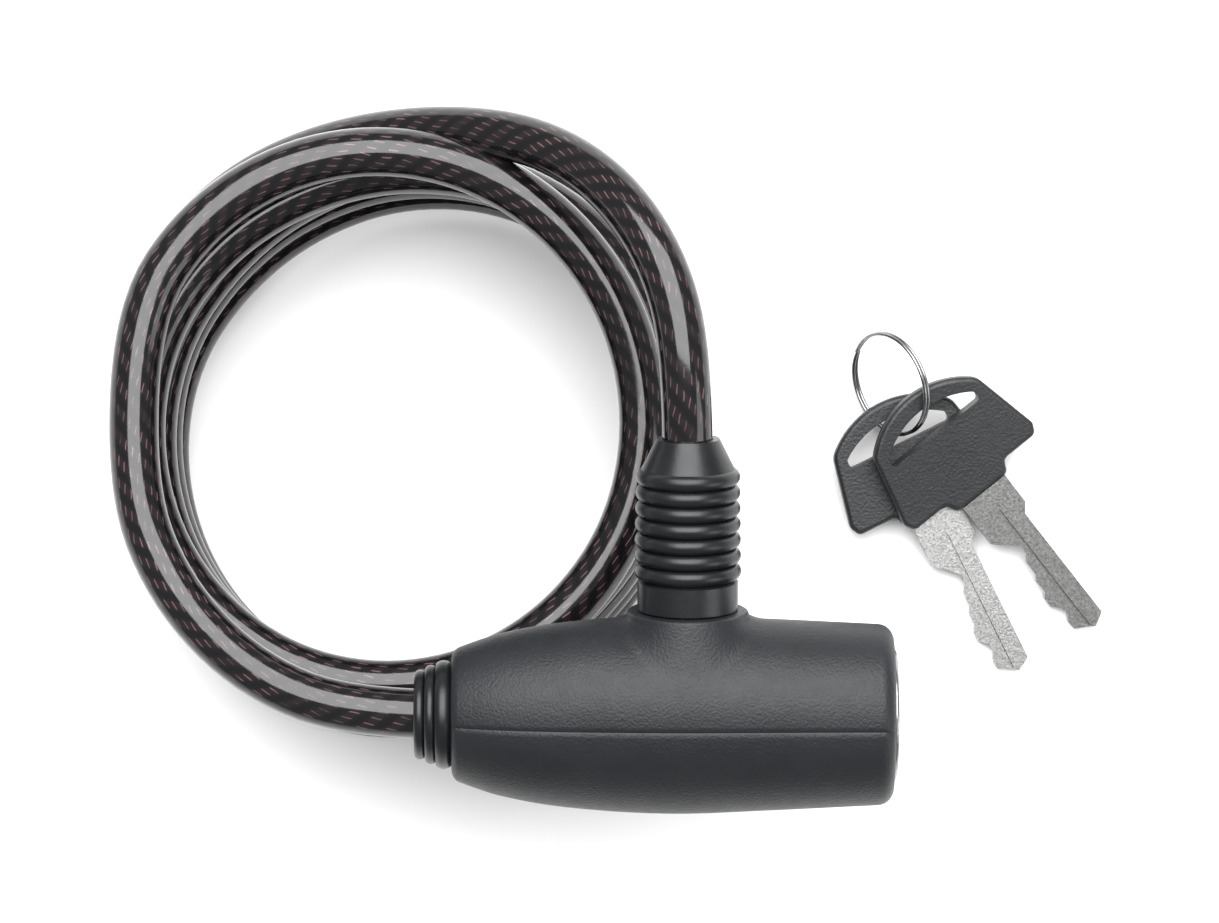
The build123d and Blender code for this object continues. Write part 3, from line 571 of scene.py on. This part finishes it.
def vinyl():
    """Glossy smoky vinyl; short reddish painted glints stand for highlights where a wire crosses the crown of
    its strand, and painted shade darkens the colour between strands.
    """
    material, tree, shader = new_material("smoky_vinyl")
    split = tree.nodes.new("ShaderNodeSeparateXYZ")
    tree.links.new(tree.nodes.new("ShaderNodeTexCoord").outputs["UV"], split.inputs["Vector"])
    along = split.outputs["Y"]
    round_it = calc(tree, "ADD", split.outputs["X"], span(tree, noise(tree, 130.0), -UNEVEN_LAY, UNEVEN_LAY))

    def crest(count, lay):
        turned = calc(tree, "ADD", round_it, calc(tree, "MULTIPLY", along, 1.0 / lay))
        return calc(tree, "PINGPONG", calc(tree, "MULTIPLY", turned, count), 0.5)

    strand = span(tree, crest(STRANDS, STRAND_LAY), 0.0, 2.0)
    wire = span(tree, crest(WIRES, -WIRE_LAY), 0.0, 2.0)
    on_crown = calc(tree, "MULTIPLY", calc(tree, "SUBTRACT", strand, CROWN_FROM), GLINT_EDGE)
    on_wire = calc(tree, "MULTIPLY", calc(tree, "SUBTRACT", wire, WIRE_FROM), GLINT_EDGE)
    for part in (on_crown, on_wire):
        part.node.use_clamp = True
    patchy = span(tree, noise(tree, 160.0, 2.0), -0.9, 2.1)
    patchy.node.clamp = True
    # painted highlight: reddish wire glints on the strand crowns, and a faint painted sheen over every crown
    painted_glint = calc(tree, "MULTIPLY", calc(tree, "MULTIPLY", on_crown, on_wire), patchy)
    painted_glint = calc(tree, "MAXIMUM", painted_glint, calc(tree, "MULTIPLY", on_crown, CROWN_SHEEN))
    painted_glint.node.use_clamp = True
    mix = node(tree, "ShaderNodeMix", data_type="RGBA")
    tree.links.new(painted_glint, mix.inputs["Factor"])
    # painted shade: the colour is darker between strands and lighter on their crowns
    tree.links.new(ramp(tree, strand, [(0.0, SHADED_BETWEEN_STRANDS), (1.0, LIT_STRAND_CROWNS)]), mix.inputs["A"])
    mix.inputs["B"].default_value = PAINTED_GLINT_COLOUR
    tree.links.new(mix.outputs["Result"], shader.inputs["Base Color"])
    tree.links.new(span(tree, noise(tree, 300.0, 2.0), 0.05, 0.16), shader.inputs["Roughness"])
    bump(tree, shader, noise(tree, 700.0, 2.0), 0.6, 0.00001)
    shader.inputs["IOR"].default_value = VINYL_IOR
    return material


CASING = moulded("casing_plastic", (0.0060, 0.0070, 0.0083), (0.0085, 0.0099, 0.0117), (0.40, 0.52),
                 2200.0, 0.00010, specular=0.26)
BOOT = moulded("boot_rubber", (0.0034, 0.0039, 0.0047), (0.0052, 0.0059, 0.0070), (0.28, 0.4), 1500.0,
               0.00002, specular=0.3)
SEAL = moulded("seal_rubber", (0.005, 0.005, 0.005), (0.008, 0.008, 0.008), (0.5, 0.65), 1800.0, 0.00003)
BOW = moulded("key_plastic", (0.0052, 0.0062, 0.0072), (0.0085, 0.0100, 0.0115), (0.34, 0.5), 2100.0,
              0.00009, specular=0.35)
NICKEL = metal("nickel_silver", (0.15, 0.155, 0.155), (0.33, 0.33, 0.32), (0.22, 0.42), 2600.0, 0.000025)
STEEL = metal("bright_steel", (0.38, 0.38, 0.38), (0.56, 0.56, 0.56), (0.12, 0.28), 1800.0, 0.000008,
              (1.0, 0.2, 1.0))
RING_WIRE = metal("ring_wire", (0.16, 0.16, 0.165), (0.26, 0.26, 0.26), (0.14, 0.28), 1800.0, 0.000008,
                  (1.0, 0.2, 1.0))
BEZEL = metal("plated_bezel", (0.2, 0.2, 0.205), (0.3, 0.3, 0.305), (0.14, 0.28), 1200.0, 0.000006)
ZINC = metal("cast_zinc", (0.2, 0.2, 0.21), (0.32, 0.32, 0.33), (0.4, 0.6), 1100.0, 0.00004)
BRASS = metal("turned_brass", (0.42, 0.29, 0.12), (0.55, 0.4, 0.18), (0.2, 0.4), 1500.0, 0.00001,
              (0.2, 1.0, 1.0))
VINYL = vinyl()


def dress(target, material):
    """Give a new piece, or a CAD node by name, one material."""
    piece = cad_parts[target] if isinstance(target, str) else target
    piece.data.materials.clear()
    piece.data.materials.append(material)


NODE_FINISHES = [
    (STEEL, ["casing_dowels", "cylinder_pin", "pin_bush", "ejector_spring", "fixed_ferrule", "ferrule_pin",
             "fixed_strand_end", "tail_cam", "retaining_clip", "wafer_springs", "locking_plate",
             "ejector_plunger", "locking_pin", "free_ferrule", "free_strand_end", "key_ring"]),
    (ZINC, ["lock_core"]),
    (BRASS, ["cylinder_shell", "plug", "wafers"]),
    (BEZEL, ["face_ring"]),
    (SEAL, ["collar_seal"]),
    (CASING, ["collar_side_casing", "plain_side_casing"]),
    (BOOT, ["fixed_end_boot", "free_end_boot"]),
    (NICKEL, ["key_1_blade", "key_2_blade"]),
    (BOW, ["key_1_bow", "key_2_bow"]),
]
for finish, names in NODE_FINISHES:
    for name in names:
        dress(name, finish)

for half in casing_halves:
    dress(half, CASING)
dress(split_ring, RING_WIRE)
dress(cable, VINYL)

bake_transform(cable)
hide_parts("cable_lead_in", "cable_coil", "cable_tail")

# ---------------- floor, light and finish ----------------


FLOOR_HALF = 3.0
FLOOR_COLOUR = (0.8, 0.8, 0.8, 1.0)


def make_floor():
    centre = in_row((0.0, 0.0, 0.0))
    corners = [centre + Vector((x * FLOOR_HALF, y * FLOOR_HALF, 0.0))
               for x, y in ((-1, -1), (1, -1), (1, 1), (-1, 1))]
    floor = add_mesh("floor", corners, [(0, 1, 2, 3)])
    material, tree, shader = new_material("paper")
    shader.inputs["Base Color"].default_value = FLOOR_COLOUR
    shader.inputs["Roughness"].default_value = 0.9
    shader.inputs["Specular IOR Level"].default_value = 0.1
    dress(floor, material)


def area_light(name, at, look_at, width, height, power):
    data = bpy.data.lights.new(name, "AREA")
    data.shape = "RECTANGLE"
    data.size, data.size_y = width, height
    data.energy = power
    light = bpy.data.objects.new(name, data)
    bpy.context.collection.objects.link(light)
    light.location = in_row(at)
    towards = in_row(look_at) - light.location
    light.rotation_euler = towards.to_track_quat("-Z", "Y").to_euler()


def make_lights():
    area_light("softbox", (0.0, 400.0, 900.0), (0.0, 0.0, 40.0), 1.05, 1.05, 34.0)
    area_light("right_fill", (800.0, -300.0, 500.0), (40.0, 0.0, 20.0), 0.5, 0.5, 3.0)
    world = bpy.data.worlds.new("studio")
    world.use_nodes = True
    world.node_tree.nodes["Background"].inputs["Color"].default_value = (1.0, 1.0, 1.0, 1.0)
    world.node_tree.nodes["Background"].inputs["Strength"].default_value = 0.5
    bpy.context.scene.world = world
    bpy.context.scene.view_settings.view_transform = "Standard"


make_floor()
make_lights()
